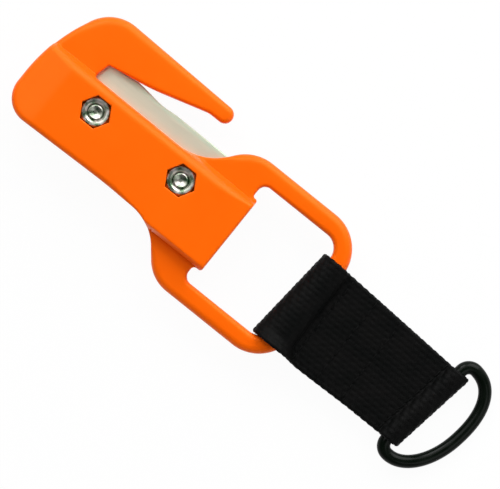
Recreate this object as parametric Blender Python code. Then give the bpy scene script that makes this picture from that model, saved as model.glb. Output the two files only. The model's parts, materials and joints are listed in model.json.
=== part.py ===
"""Hook-type strap cutter with a webbing tab and a D-ring.

Two moulded halves clamp a straight blade between them with two screws and two hex nuts. Together the halves
form the hook that leads a strap on to the blade, the raised grip and the frame that carries the webbing tab.

Metres, +Z up, lying on the rear face. The origin is midway between the screws on that face, +X runs from the
hook end to the D-ring, and +Y points to the hook's side.
"""

import math
from collections import namedtuple

import bmesh
import bpy
from mathutils import Vector
from mathutils.geometry import delaunay_2d_cdt

MM = 0.001
FIT_GAP = 0.1 * MM
CUT_PAST = 1.0 * MM
SHARP_ANGLE = math.radians(30)
SAME_PLACE = 1e-8

# Moulded halves, split at mid thickness
BODY_THICKNESS = 13.0 * MM
FLANGE_THICKNESS = 5.0 * MM
MID_Z = BODY_THICKNESS / 2
HOOK_END_X = -33.6 * MM
THROAT_Y = 6.5 * MM
HOOK_TOP_Y = 22.0 * MM
HOOK_TIP_X = 13.85 * MM
GRIP_BOTTOM_Y = -12.6 * MM

# Raised grip: sloping flanks along both sides, a ramp at the hook end
FLANK_WIDTH = 3.5 * MM
UPPER_FLANK_FOOT_Y = 7.1 * MM
LOWER_FLANK_FOOT_Y = -15.4 * MM
RAMP_START_X = -24.7 * MM
RAMP_SLOPE = math.tan(math.radians(12))
RAMP_EASE = 1.0 * MM

# Strap frame, a rounded loop beyond the grip
FRAME_AXIS_Y = -3.07 * MM
FRAME_WIDTH = 41.35 * MM
FRAME_END_X = 59.635 * MM
FRAME_BAR = 5.2 * MM
FRAME_CORNER = 10.8 * MM
WINDOW_CORNER = 4.2 * MM
GRIP_END_X = 31.45 * MM
GRIP_END_UPPER_Y = 8.1 * MM
GRIP_END_LOWER_Y = -13.5 * MM
UPPER_NOTCH_X = 29.9 * MM
LOWER_NOTCH_X = 29.1 * MM

# Rounded rims of the mouldings
BAR_RIM = 1.9 * MM
HOOK_RIM = 1.9 * MM
GRIP_RIM = 1.4 * MM
INNER_RIM = 1.0 * MM
THROAT_RIM = 0.4 * MM
RIM_STEPS = 4
ARC_ERROR = 0.03 * MM
FACE_PITCH = 2.0 * MM
FLANK_STEPS = 7
FACE_TOLERANCE = 0.02 * MM
SHORTEST_SPLIT = 0.5 * MM
RIM_CLEARANCE = 0.3 * MM

# Blade, a ground strip clamped between the halves
BLADE_LENGTH = 48.0 * MM
BLADE_BACK_Y = -5.0 * MM
BLADE_EDGE_Y = 12.0 * MM
BLADE_THICKNESS = 0.7 * MM
BLADE_BEVEL = 1.5 * MM
EDGE_THICKNESS = 0.08 * MM
BLADE_POCKET_GAP = 0.3 * MM

# M4 hardware: button-head socket screws from the rear, hex nuts in the front
SCREW_SPACING = 27.0 * MM
SCREW_RADIUS = 2.0 * MM
SCREW_LENGTH = 10.0 * MM
SCREW_CHAMFER = 0.5 * MM
HEAD_RADIUS = 3.8 * MM
HEAD_FACE_RADIUS = 1.9 * MM
HEAD_HEIGHT = 2.2 * MM
HEAD_BAND = 0.3 * MM
HEAD_RECESS = 0.15 * MM
HEAD_STEPS = 6
SOCKET_FLATS = 2.5 * MM
SOCKET_DEPTH = 1.3 * MM
NUT_FLATS = 7.0 * MM
NUT_HEIGHT = 3.2 * MM
NUT_FACE_RADIUS = 3.25 * MM
NUT_CHAMFER = math.radians(30)
NUT_BORE_RADIUS = 2.2 * MM
NUT_COUNTERSINK = 0.5 * MM
NUT_RECESS = 0.3 * MM
NUT_POCKET_FLATS = 7.3 * MM
SCREW_HOLE_RADIUS = 2.3 * MM
COUNTERBORE_RADIUS = 4.1 * MM
ROUND_SIDES = 40

# Moulded pegs that line the halves up
PEG_RADIUS = 1.5 * MM
PEG_HEIGHT = 2.0 * MM
PEG_CHAMFER = 0.4 * MM
PEG_CLEARANCE = 0.25 * MM
PEG_SIDES = 24
PEG_PLACES = ((-28.5 * MM, -5.0 * MM), (27.0 * MM, -5.0 * MM))

# Webbing tab, one strip folded round the frame's end bar and the ring's bar, ends lapped at the rear
WEBBING_THICKNESS = 1.2 * MM
LAYER_GAP = 0.3 * MM
TAB_WIDTH_AT_FRAME = 26.4 * MM
TAB_WIDTH_AT_RING = 24.5 * MM
TAB_CENTRE_Y = -4.77 * MM
TAB_LENGTH = 38.8 * MM
TAB_SIDE_SHIFT = -1.1 * MM
FRAME_EYE = 3.15 * MM
FRAME_EYE_FLARE = 1.85 * MM
FRAME_REACH_UPPER = 3.2 * MM
FRAME_REACH_LOWER = 5.4 * MM
EYE_TAPER = math.radians(56)
EYE_STEPS = 26
FOLD_EASE = 1.3 * MM
INNER_END_X = 23.0 * MM
LAP_STEP_X = 26.5 * MM
LAP_STEP_LENGTH = 2.0 * MM
LAP_EASE = 2.0 * MM
OUTER_END_X = 11.5 * MM
TAB_STRIPS = 8
STRIP_ARC_STEP = math.radians(11)

# D-ring of round wire, its bow half an ellipse
WIRE_RADIUS = 1.7 * MM
RING_BAR_HALF = 12.6 * MM
RING_CORNER = 2.65 * MM
RING_BOW = 9.4 * MM
RING_SLIDE = 0.45 * MM
RING_YAW = math.radians(9.0)
RING_EYE = 2.1 * MM
REST_GAP = 0.2 * MM
BOW_STEPS = 32
CORNER_STEPS = 5
BAR_STEPS = 4
WIRE_RESOLUTION = 4

Corner = namedtuple("Corner", "x y radius rim")


def smooth(value):
    """Eases from 0 to 1 as the value passes from 0 to 1."""
    value = min(max(value, 0.0), 1.0)
    return value * value * (3.0 - 2.0 * value)


def arc_steps(radius, turn):
    """How many chords follow an arc to within the arc error."""
    return max(2, math.ceil(abs(turn) / (2 * math.acos(1 - ARC_ERROR / radius))))


def rounded(corners, step_angle=None):
    """The points of a polygon or path whose corners are rounded by arcs, each point with its corner's rim."""
    points = []
    for index, corner in enumerate(corners):
        here = Vector((corner.x, corner.y))
        if not corner.radius:
            points.append((here, corner.rim))
            continue
        before = corners[index - 1]
        after = corners[(index + 1) % len(corners)]
        back = (Vector((before.x, before.y)) - here).normalized()
        ahead = (Vector((after.x, after.y)) - here).normalized()
        turn = math.atan2(ahead.x * back.y - ahead.y * back.x, -back.dot(ahead))
        start = here + back * corner.radius * math.tan(abs(turn) / 2)
        centre = here + (back + ahead).normalized() * corner.radius / math.cos(turn / 2)
        steps = round(abs(turn) / step_angle) if step_angle else arc_steps(corner.radius, turn)
        for step in range(steps + 1):
            spoke = start - centre
            angle = turn * step / steps
            turned = Vector((
                spoke.x * math.cos(angle) - spoke.y * math.sin(angle),
                spoke.x * math.sin(angle) + spoke.y * math.cos(angle),
            ))
            points.append((centre + turned, corner.rim))
    return points


def left_normals(points, closed=True):
    """At each point of a path, the normal on the left of its direction, mitred up to twice its length."""
    longest_mitre = 2.0
    normals = []
    count = len(points)
    for index, here in enumerate(points):
        before = points[index - 1] if closed or index else None
        after = points[(index + 1) % count] if closed or index < count - 1 else None
        sides = []
        if before is not None:
            sides.append((here - before).normalized())
        if after is not None:
            sides.append((after - here).normalized())
        along = sum(sides, Vector((0, 0))).normalized()
        normal = Vector((-along.y, along.x))
        normals.append(normal / max(along.dot(sides[0]), 1 / longest_mitre))
    return normals


def new_object(name, bm, material):
    """A named object made of the bmesh, with its faces turned outwards."""
    bmesh.ops.recalc_face_normals(bm, faces=bm.faces)
    mesh = bpy.data.meshes.new(name)
    bm.to_mesh(mesh)
    bm.free()
    mesh.materials.append(material)
    mesh.shade_smooth()
    mesh.set_sharp_from_angle(angle=SHARP_ANGLE)
    obj = bpy.data.objects.new(name, mesh)
    bpy.context.scene.collection.objects.link(obj)
    return obj


def cutter(name, bm):
    """A hidden shape for a Boolean."""
    obj = new_object(name, bm, bpy.data.materials["guide"])
    obj.hide_render = True
    obj.display_type = "WIRE"
    return obj


def combine(target, tool, operation):
    """Adds a Boolean that cuts the tool from the target, joins them or keeps what they share."""
    modifier = target.modifiers.new(tool.name, "BOOLEAN")
    modifier.operation = operation
    modifier.object = tool
    modifier.solver = "EXACT"


def material(name, colour, roughness, metallic):
    """A Principled material of one colour."""
    made = bpy.data.materials.new(name)
    made.use_nodes = True
    shader = made.node_tree.nodes["Principled BSDF"]
    shader.inputs["Base Color"].default_value = (*colour, 1.0)
    shader.inputs["Roughness"].default_value = roughness
    shader.inputs["Metallic"].default_value = metallic
    return made


def turned(profile, centre, sides, phase=0.0):
    """A solid of revolution about a vertical axis, from (radius, height) points listed bottom to top."""
    bm = bmesh.new()
    rings = []
    for radius, height in profile:
        ring = []
        for step in range(sides):
            angle = 2 * math.pi * (step + phase) / sides
            place = (centre[0] + radius * math.cos(angle), centre[1] + radius * math.sin(angle), height)
            ring.append(bm.verts.new(place))
        rings.append(ring)
    for lower, upper in zip(rings, rings[1:]):
        join_rings(bm, lower, upper)
    bm.faces.new(rings[0])
    bm.faces.new(rings[-1])
    return bm


def hexagon(flats, bottom, top, centre):
    """A hexagonal prism with two corners along X."""
    corner_radius = flats / math.sqrt(3)
    return turned([(corner_radius, bottom), (corner_radius, top)], centre, 6)


def join_rings(bm, lower, upper):
    """Quads between two closed rings of vertices."""
    count = len(lower)
    for index in range(count):
        after = (index + 1) % count
        bm.faces.new((lower[index], lower[after], upper[after], upper[index]))


def body_outline():
    """The outside of the mouldings, anticlockwise from the frame's upper corner round the throat and hook."""
    upper = FRAME_AXIS_Y + FRAME_WIDTH / 2
    lower = FRAME_AXIS_Y - FRAME_WIDTH / 2
    inner_y = HOOK_TOP_Y - 4.5 * MM
    return rounded([
        # The frame's upper shoulder sweeps down into the throat's straight side
        Corner(FRAME_END_X, upper, FRAME_CORNER, BAR_RIM),
        Corner(23.2 * MM, upper, 11.0 * MM, BAR_RIM),
        Corner(14.7 * MM, THROAT_Y, 15.0 * MM, THROAT_RIM),
        # The throat's closed end, then the hook's inner side out to its tip
        Corner(-19.6 * MM, THROAT_Y + 0.25 * MM, 0.8 * MM, THROAT_RIM),
        Corner(-18.45 * MM, 11.2 * MM, 0.7 * MM, THROAT_RIM),
        Corner(-7.0 * MM, 13.1 * MM, 60.0 * MM, INNER_RIM),
        Corner(8.3 * MM, inner_y, 6.0 * MM, INNER_RIM),
        Corner(HOOK_TIP_X, inner_y, 2.2 * MM, 1.3 * MM),
        Corner(HOOK_TIP_X, HOOK_TOP_Y - 0.1 * MM, 2.2 * MM, 1.5 * MM),
        # The hook's back leans over to the grip's end and lower corner
        Corner(-26.3 * MM, HOOK_TOP_Y + 1.1 * MM, 10.3 * MM, HOOK_RIM),
        Corner(HOOK_END_X, 6.2 * MM, 45.0 * MM, GRIP_RIM),
        Corner(HOOK_END_X, GRIP_BOTTOM_Y - 0.55 * MM, 7.0 * MM, GRIP_RIM),
        # The grip's slightly hollow lower side and the frame's lower shoulder
        Corner(-1.0 * MM, GRIP_BOTTOM_Y + 0.3 * MM, 150.0 * MM, GRIP_RIM),
        Corner(14.05 * MM, GRIP_BOTTOM_Y - 0.1 * MM, 13.0 * MM, GRIP_RIM),
        Corner(23.0 * MM, lower, 10.0 * MM, BAR_RIM),
        Corner(FRAME_END_X, lower, FRAME_CORNER, BAR_RIM),
    ])


def frame_window():
    """The opening of the strap frame, clockwise, with a relief notch each side of the grip's end."""
    upper = FRAME_AXIS_Y + FRAME_WIDTH / 2 - FRAME_BAR
    lower = FRAME_AXIS_Y - FRAME_WIDTH / 2 + FRAME_BAR
    far_x = FRAME_END_X - FRAME_BAR
    return rounded([
        # The end bar
        Corner(far_x, upper, WINDOW_CORNER, BAR_RIM),
        Corner(far_x, lower, WINDOW_CORNER, BAR_RIM),
        # The lower notch, the grip's end and the upper notch
        Corner(LOWER_NOTCH_X, lower, 2.2 * MM, INNER_RIM),
        Corner(LOWER_NOTCH_X, GRIP_END_LOWER_Y, 1.3 * MM, 0.6 * MM),
        Corner(GRIP_END_X, GRIP_END_LOWER_Y, 0.7 * MM, 0.6 * MM),
        Corner(GRIP_END_X, GRIP_END_UPPER_Y, 0.7 * MM, 0.6 * MM),
        Corner(UPPER_NOTCH_X, GRIP_END_UPPER_Y, 0.7 * MM, 0.6 * MM),
        Corner(UPPER_NOTCH_X, upper, 2.2 * MM, INNER_RIM),
    ])


def half_thickness(x, y):
    """From the parting plane to the face: the flange, rising over the flanks to the grip and its ramp."""
    if x > GRIP_END_X + FRAME_BAR:
        return FLANGE_THICKNESS / 2
    rise = smooth(min(UPPER_FLANK_FOOT_Y - y, y - LOWER_FLANK_FOOT_Y) / FLANK_WIDTH)
    past = RAMP_START_X - x
    if abs(past) < RAMP_EASE:
        past = (past + RAMP_EASE) ** 2 / (4 * RAMP_EASE)
    grip = BODY_THICKNESS / 2 - max(past, 0.0) * RAMP_SLOPE
    return FLANGE_THICKNESS / 2 + (grip - FLANGE_THICKNESS / 2) * rise


def follow_face(outline):
    """The outline with points added wherever the face's height bends between two of its points."""

    def split(start, end):
        middle = (start[0] + end[0]) / 2
        heights = [half_thickness(spot.x, spot.y) for spot in (start[0], middle, end[0])]
        bend = abs(heights[1] - (heights[0] + heights[2]) / 2)
        if bend < FACE_TOLERANCE or (end[0] - start[0]).length < SHORTEST_SPLIT:
            return [start]
        added = (middle, (start[1] + end[1]) / 2)
        return split(start, added) + split(added, end)

    points = []
    for start, end in zip(outline, outline[1:] + outline[:1]):
        points += split(start, end)
    return points


def inside(point, loop):
    """Whether a point lies within a closed outline."""
    within = False
    for here, after in zip(loop, loop[1:] + loop[:1]):
        if (here.y > point.y) != (after.y > point.y):
            crossing = here.x + (point.y - here.y) * (after.x - here.x) / (after.y - here.y)
            if point.x < crossing:
                within = not within
    return within


def face_spots(outer, window):
    """Points over the flanks and the ramp, clear of the rims, that give the face its shape."""
    rows = [UPPER_FLANK_FOOT_Y - FLANK_WIDTH * step / FLANK_STEPS for step in range(FLANK_STEPS + 1)]
    rows += [LOWER_FLANK_FOOT_Y + FLANK_WIDTH * step / FLANK_STEPS for step in range(FLANK_STEPS + 1)]
    columns = [RAMP_START_X - RAMP_EASE, RAMP_START_X, RAMP_START_X + RAMP_EASE]
    x = HOOK_END_X + FACE_PITCH / 2
    while x < GRIP_END_X:
        columns.append(x)
        x += FACE_PITCH
    rims = outer + window
    spots = []
    for y in rows:
        for x in columns:
            spot = Vector((x, y))
            clear = min((spot - point).length for point in rims) > RIM_CLEARANCE
            if clear and inside(spot, outer) and not inside(spot, window):
                spots.append(spot)
    return spots


def fill(bm, loops, spots):
    """Triangles between an outer ring and the ring of a hole, through any further vertices."""
    verts = [vert for loop in loops for vert in loop] + spots
    edges = []
    first = 0
    for loop in loops:
        count = len(loop)
        edges += [(first + index, first + (index + 1) % count) for index in range(count)]
        first += count
    flat = [vert.co.xy for vert in verts]
    _, _, triangles, sources, _, _ = delaunay_2d_cdt(flat, edges, [], 1, SAME_PLACE)
    outer, hole = ([vert.co.xy for vert in loop] for loop in loops)
    for triangle in triangles:
        corners = [verts[sources[index][0]] for index in triangle]
        middle = sum((vert.co.xy for vert in corners), Vector((0, 0))) / 3
        if inside(middle, outer) and not inside(middle, hole):
            bm.faces.new(corners)


def moulded_half(name, side, plastic):
    """One half of the body: walls round both outlines, rounded rims, the shaped face and the parting face."""
    bm = bmesh.new()
    parting = FIT_GAP / 2

    def place(spot, height):
        return bm.verts.new((spot.x, spot.y, MID_Z + side * height))

    flat_loops = []
    face_loops = []
    for outline in (follow_face(body_outline()), follow_face(frame_window())):
        points = [point for point, _ in outline]
        rings = [[place(point, parting) for point in points]]
        normals = left_normals(points)
        for step in range(RIM_STEPS + 1):
            angle = math.pi / 2 * step / RIM_STEPS
            ring = []
            for (point, rim), normal in zip(outline, normals):
                spot = point + normal * rim * (1 - math.cos(angle))
                height = half_thickness(spot.x, spot.y) - rim * (1 - math.sin(angle))
                ring.append(place(spot, height))
            rings.append(ring)
        for lower, upper in zip(rings, rings[1:]):
            join_rings(bm, lower, upper)
        flat_loops.append(rings[0])
        face_loops.append(rings[-1])
    outer, window = ([vert.co.xy for vert in loop] for loop in face_loops)
    spots = [place(spot, half_thickness(spot.x, spot.y)) for spot in face_spots(outer, window)]
    fill(bm, face_loops, spots)
    fill(bm, flat_loops, [])
    return new_object(name, bm, plastic)


def block(low, high):
    """A box between two corners."""
    bm = bmesh.new()
    bmesh.ops.create_cube(bm, size=1.0)
    for vert in bm.verts:
        for axis in range(3):
            vert.co[axis] = high[axis] if vert.co[axis] > 0 else low[axis]
    return bm


def screw_places():
    """The hook-end and frame-end screw axes, with the word that names each."""
    return (("hook_end", (-SCREW_SPACING / 2, 0.0)), ("frame_end", (SCREW_SPACING / 2, 0.0)))


def head_seat():
    """Height of the screw heads' shoulders above the rear face."""
    return HEAD_RECESS + HEAD_HEIGHT


def blade_pocket(name):
    """The shallow pocket that both halves share, a little larger than the blade."""
    reach = BLADE_LENGTH / 2 + BLADE_POCKET_GAP
    depth = BLADE_THICKNESS / 2 + FIT_GAP
    low = (-reach, BLADE_BACK_Y - BLADE_POCKET_GAP, MID_Z - depth)
    high = (reach, BLADE_EDGE_Y + BLADE_POCKET_GAP, MID_Z + depth)
    return cutter(name, block(low, high))


def front_shell(plastic):
    """The half with hexagonal pockets for the nuts and sockets for the pegs."""
    shell = moulded_half("front_shell", 1, plastic)
    combine(shell, blade_pocket("front_blade_pocket"), "DIFFERENCE")
    over = BODY_THICKNESS + CUT_PAST
    seat = BODY_THICKNESS - NUT_RECESS - NUT_HEIGHT - FIT_GAP
    for word, centre in screw_places():
        pocket = hexagon(NUT_POCKET_FLATS, seat, over, centre)
        combine(shell, cutter(f"nut_pocket_{word}", pocket), "DIFFERENCE")
        hole = turned([(SCREW_HOLE_RADIUS, 0.0), (SCREW_HOLE_RADIUS, over)], centre, ROUND_SIDES)
        combine(shell, cutter(f"front_hole_{word}", hole), "DIFFERENCE")
    socket_radius = PEG_RADIUS + PEG_CLEARANCE
    socket_top = MID_Z + PEG_HEIGHT + PEG_CLEARANCE
    for index, place in enumerate(PEG_PLACES):
        socket = turned([(socket_radius, 0.0), (socket_radius, socket_top)], place, PEG_SIDES)
        combine(shell, cutter(f"peg_socket_{index}", socket), "DIFFERENCE")
    return shell


def rear_shell(plastic):
    """The half with round counterbores for the screw heads and the two pegs."""
    shell = moulded_half("rear_shell", -1, plastic)
    combine(shell, blade_pocket("rear_blade_pocket"), "DIFFERENCE")
    under = -CUT_PAST
    seat = head_seat() + FIT_GAP
    for word, centre in screw_places():
        bore = turned([(COUNTERBORE_RADIUS, under), (COUNTERBORE_RADIUS, seat)], centre, ROUND_SIDES)
        combine(shell, cutter(f"counterbore_{word}", bore), "DIFFERENCE")
        hole = turned([(SCREW_HOLE_RADIUS, under), (SCREW_HOLE_RADIUS, BODY_THICKNESS)], centre, ROUND_SIDES)
        combine(shell, cutter(f"rear_hole_{word}", hole), "DIFFERENCE")
    top = MID_Z + PEG_HEIGHT
    for index, place in enumerate(PEG_PLACES):
        profile = [
            (PEG_RADIUS, MID_Z - PEG_HEIGHT),
            (PEG_RADIUS, top - PEG_CHAMFER),
            (PEG_RADIUS - PEG_CHAMFER, top),
        ]
        combine(shell, cutter(f"peg_{index}", turned(profile, place, PEG_SIDES)), "UNION")
    return shell


def blade(steel):
    """A straight strip ground to an edge from both faces, with a hole for each screw."""
    half = BLADE_THICKNESS / 2
    section = [
        (BLADE_BACK_Y, -half),
        (BLADE_EDGE_Y - BLADE_BEVEL, -half),
        (BLADE_EDGE_Y, -EDGE_THICKNESS / 2),
        (BLADE_EDGE_Y, EDGE_THICKNESS / 2),
        (BLADE_EDGE_Y - BLADE_BEVEL, half),
        (BLADE_BACK_Y, half),
    ]
    bm = bmesh.new()
    ends = []
    for x in (-BLADE_LENGTH / 2, BLADE_LENGTH / 2):
        ends.append([bm.verts.new((x, y, MID_Z + z)) for y, z in section])
    join_rings(bm, *ends)
    for end in ends:
        bm.faces.new(end)
    strip = new_object("blade", bm, steel)
    for word, centre in screw_places():
        hole = turned([(SCREW_HOLE_RADIUS, 0.0), (SCREW_HOLE_RADIUS, BODY_THICKNESS)], centre, ROUND_SIDES)
        combine(strip, cutter(f"blade_hole_{word}", hole), "DIFFERENCE")
    return strip


def clamp_screw(word, centre, steel):
    """A button-head socket screw, its domed head towards the rear."""
    seat = head_seat()
    end = seat + SCREW_LENGTH
    profile = []
    for step in range(HEAD_STEPS + 1):
        angle = math.pi / 2 * step / HEAD_STEPS
        radius = HEAD_FACE_RADIUS + (HEAD_RADIUS - HEAD_FACE_RADIUS) * math.sin(angle)
        height = HEAD_RECESS + (HEAD_HEIGHT - HEAD_BAND) * (1 - math.cos(angle))
        profile.append((radius, height))
    profile += [
        (HEAD_RADIUS, seat),
        (SCREW_RADIUS, seat),
        (SCREW_RADIUS, end - SCREW_CHAMFER),
        (SCREW_RADIUS - SCREW_CHAMFER, end),
    ]
    screw = new_object(f"clamp_screw_{word}", turned(profile, centre, ROUND_SIDES), steel)
    socket = hexagon(SOCKET_FLATS, -CUT_PAST, HEAD_RECESS + SOCKET_DEPTH, centre)
    combine(screw, cutter(f"screw_socket_{word}", socket), "DIFFERENCE")
    return screw


def hex_nut(word, centre, steel):
    """A hex nut: a prism whose corners are turned off at both ends, with a countersunk bore."""
    top = BODY_THICKNESS - NUT_RECESS
    bottom = top - NUT_HEIGHT
    nut = new_object(f"hex_nut_{word}", hexagon(NUT_FLATS, bottom, top, centre), steel)
    past_corners = NUT_FLATS / math.sqrt(3) + FIT_GAP
    drop = (past_corners - NUT_FACE_RADIUS) * math.tan(NUT_CHAMFER)
    envelope = [
        (NUT_FACE_RADIUS, bottom),
        (past_corners, bottom + drop),
        (past_corners, top - drop),
        (NUT_FACE_RADIUS, top),
    ]
    half_step = 0.5
    rounder = turned(envelope, centre, ROUND_SIDES, half_step)
    combine(nut, cutter(f"nut_envelope_{word}", rounder), "INTERSECT")
    mouth = NUT_BORE_RADIUS + NUT_COUNTERSINK + CUT_PAST
    bore = [
        (mouth, bottom - CUT_PAST),
        (NUT_BORE_RADIUS, bottom + NUT_COUNTERSINK),
        (NUT_BORE_RADIUS, top - NUT_COUNTERSINK),
        (mouth, top + CUT_PAST),
    ]
    combine(nut, cutter(f"nut_bore_{word}", turned(bore, centre, ROUND_SIDES)), "DIFFERENCE")
    return nut


def eye_points(x, radius, reach, facing):
    """Points round an eye that opens towards +X or -X, its closed side drawn out to the reach."""
    first = math.pi / 2 - EYE_TAPER
    points = []
    for step in range(EYE_STEPS + 1):
        angle = first + 2 * (math.pi - first) * step / EYE_STEPS
        width = radius if math.cos(angle) > 0 else reach
        place = (x + facing * width * math.cos(angle), -facing * radius * math.sin(angle))
        points.append(Corner(*place, 0.0, 0.0))
    return points


def strip_path(share):
    """The strip's centre line in X and Z at a share of its width, from the lower edge to the upper."""
    half_gap = (WEBBING_THICKNESS + LAYER_GAP) / 2
    lap = 3 * half_gap
    # The eye opens wider at the lower edge, where the frame's rounded corner runs into it
    flare = FRAME_EYE_FLARE * max(0.0, 1 - share * TAB_STRIPS)
    frame_eye = FRAME_EYE + flare + WEBBING_THICKNESS / 2
    reach = FRAME_REACH_LOWER + (FRAME_REACH_UPPER - FRAME_REACH_LOWER) * share + WEBBING_THICKNESS / 2
    ring_eye = RING_EYE + WEBBING_THICKNESS / 2
    ring_x = TAB_LENGTH + math.tan(RING_YAW) * (share - 0.5) * TAB_WIDTH_AT_RING

    def neck(eye):
        return (eye - half_gap * math.cos(EYE_TAPER)) / math.sin(EYE_TAPER)

    return rounded([
        Corner(INNER_END_X, -half_gap, 0.0, 0.0),
        Corner(neck(frame_eye), -half_gap, FOLD_EASE, 0.0),
        *eye_points(0.0, frame_eye, reach, 1),
        Corner(neck(frame_eye), half_gap, FOLD_EASE, 0.0),
        Corner(ring_x - neck(ring_eye), half_gap, FOLD_EASE, 0.0),
        *eye_points(ring_x, ring_eye, ring_eye, -1),
        Corner(ring_x - neck(ring_eye), -half_gap, FOLD_EASE, 0.0),
        Corner(LAP_STEP_X, -half_gap, LAP_EASE, 0.0),
        Corner(LAP_STEP_X - LAP_STEP_LENGTH, -lap, LAP_EASE, 0.0),
        Corner(OUTER_END_X, -lap, 0.0, 0.0),
    ], step_angle=STRIP_ARC_STEP)


def rest_droop():
    """How far the tab tips down from the frame's end bar to lay the ring's fold just above the floor."""
    tilt_allowance = REST_GAP
    ring_axis_z = RING_EYE + WEBBING_THICKNESS + tilt_allowance + REST_GAP
    return math.asin((MID_Z - ring_axis_z) / TAB_LENGTH)


def webbing_tab(cloth):
    """The folded strip, swept across its width, with its origin on the axis of the frame's end bar."""
    bm = bmesh.new()
    columns = []
    for strip in range(TAB_STRIPS + 1):
        share = strip / TAB_STRIPS
        path = [point for point, _ in strip_path(share)]
        column = []
        for point, normal in zip(path, left_normals(path, closed=False)):
            along = min(max(point.x / TAB_LENGTH, 0.0), 1.0)
            width = TAB_WIDTH_AT_FRAME + (TAB_WIDTH_AT_RING - TAB_WIDTH_AT_FRAME) * along
            y = TAB_SIDE_SHIFT * along + (share - 0.5) * width
            pair = []
            for side in (-0.5, 0.5):
                spot = point + normal * side * WEBBING_THICKNESS
                pair.append(bm.verts.new((spot.x, y, spot.y)))
            column.append(pair)
        columns.append(column)
    for lower, upper in zip(columns, columns[1:]):
        for index in range(len(lower) - 1):
            for side in (0, 1):
                bm.faces.new((lower[index][side], lower[index + 1][side],
                              upper[index + 1][side], upper[index][side]))
        for end in (0, -1):
            bm.faces.new((lower[end][0], lower[end][1], upper[end][1], upper[end][0]))
    for column in (columns[0], columns[-1]):
        for here, after in zip(column, column[1:]):
            bm.faces.new((here[0], here[1], after[1], after[0]))
    tab = new_object("webbing_tab", bm, cloth)
    tab.location = (FRAME_END_X - FRAME_BAR / 2, TAB_CENTRE_Y, MID_Z)
    tab.rotation_euler = (0.0, rest_droop(), 0.0)
    return tab


def ring_line():
    """The D-ring's wire line: the straight bar along Y, slid to one side, round corners and the bow."""
    points = []
    half_width = RING_BAR_HALF + RING_CORNER
    for step in range(CORNER_STEPS + 1):
        angle = math.pi / 2 * step / CORNER_STEPS
        points.append((RING_CORNER * (1 - math.cos(angle)), RING_BAR_HALF + RING_CORNER * math.sin(angle)))
    for step in range(1, BOW_STEPS):
        angle = math.pi * step / BOW_STEPS
        points.append((RING_CORNER + RING_BOW * math.sin(angle), half_width * math.cos(angle)))
    for step in range(CORNER_STEPS + 1):
        angle = math.pi / 2 * step / CORNER_STEPS
        points.append((RING_CORNER * (1 - math.sin(angle)), -RING_BAR_HALF - RING_CORNER * math.cos(angle)))
    for step in range(1, BAR_STEPS):
        points.append((0.0, RING_BAR_HALF * (2 * step / BAR_STEPS - 1)))
    return [(x, y + RING_SLIDE) for x, y in points]


def ring_pitch(droop):
    """The ring's own turn on its bar that lays the bow down on the floor."""
    bow_reach = RING_CORNER + RING_BOW
    drop = (MID_Z - TAB_LENGTH * math.sin(droop) - WIRE_RADIUS - REST_GAP) / bow_reach
    along = math.sin(droop) * math.cos(RING_YAW)
    upright = math.cos(droop)
    return math.asin(drop / math.hypot(along, upright)) - math.atan2(along, upright)


def d_ring(tab, steel):
    """The wire ring, its origin on the axis of its bar, hung in the tab's far fold."""
    curve = bpy.data.curves.new("d_ring", "CURVE")
    curve.dimensions = "3D"
    curve.bevel_depth = WIRE_RADIUS
    curve.bevel_resolution = WIRE_RESOLUTION
    spline = curve.splines.new("POLY")
    line = ring_line()
    spline.points.add(len(line) - 1)
    for point, (x, y) in zip(spline.points, line):
        point.co = (x, y, 0.0, 1.0)
    spline.use_cyclic_u = True
    curve.materials.append(steel)
    ring = bpy.data.objects.new("d_ring", curve)
    bpy.context.scene.collection.objects.link(ring)
    ring.parent = tab
    ring.location = (TAB_LENGTH, TAB_SIDE_SHIFT, 0.0)
    ring.rotation_euler = (0.0, ring_pitch(tab.rotation_euler.y), -RING_YAW)
    return ring


def main():
    for obj in list(bpy.data.objects):
        bpy.data.objects.remove(obj)
    material("guide", (0.5, 0.5, 0.5), 0.5, 0.0)
    orange = material("orange_moulding", (0.96, 0.14, 0.005), 0.42, 0.0)
    steel = material("blade_steel", (0.62, 0.6, 0.53), 0.32, 1.0)
    zinc = material("zinc_plate", (0.68, 0.68, 0.66), 0.28, 1.0)
    cloth = material("black_webbing", (0.006, 0.006, 0.006), 0.8, 0.0)
    enamel = material("black_enamel", (0.008, 0.009, 0.008), 0.3, 0.0)
    rear_shell(orange)
    front_shell(orange)
    blade(steel)
    for word, centre in screw_places():
        clamp_screw(word, centre, zinc)
        hex_nut(word, centre, zinc)
    tab = webbing_tab(cloth)
    d_ring(tab, enamel)


main()
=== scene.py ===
"""The looks of a hook-type strap cutter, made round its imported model.

Metres, in the model's own frame: it lies on its rear face at Z 0, +X runs from the hook end to the D-ring,
and +Y points to the hook's side. Sizes are written in millimetres.
"""

import json
import math
from functools import partial

import bmesh
import bpy
import numpy as np
from mathutils import Euler, Matrix, Vector
from mathutils.geometry import delaunay_2d_cdt


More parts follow.
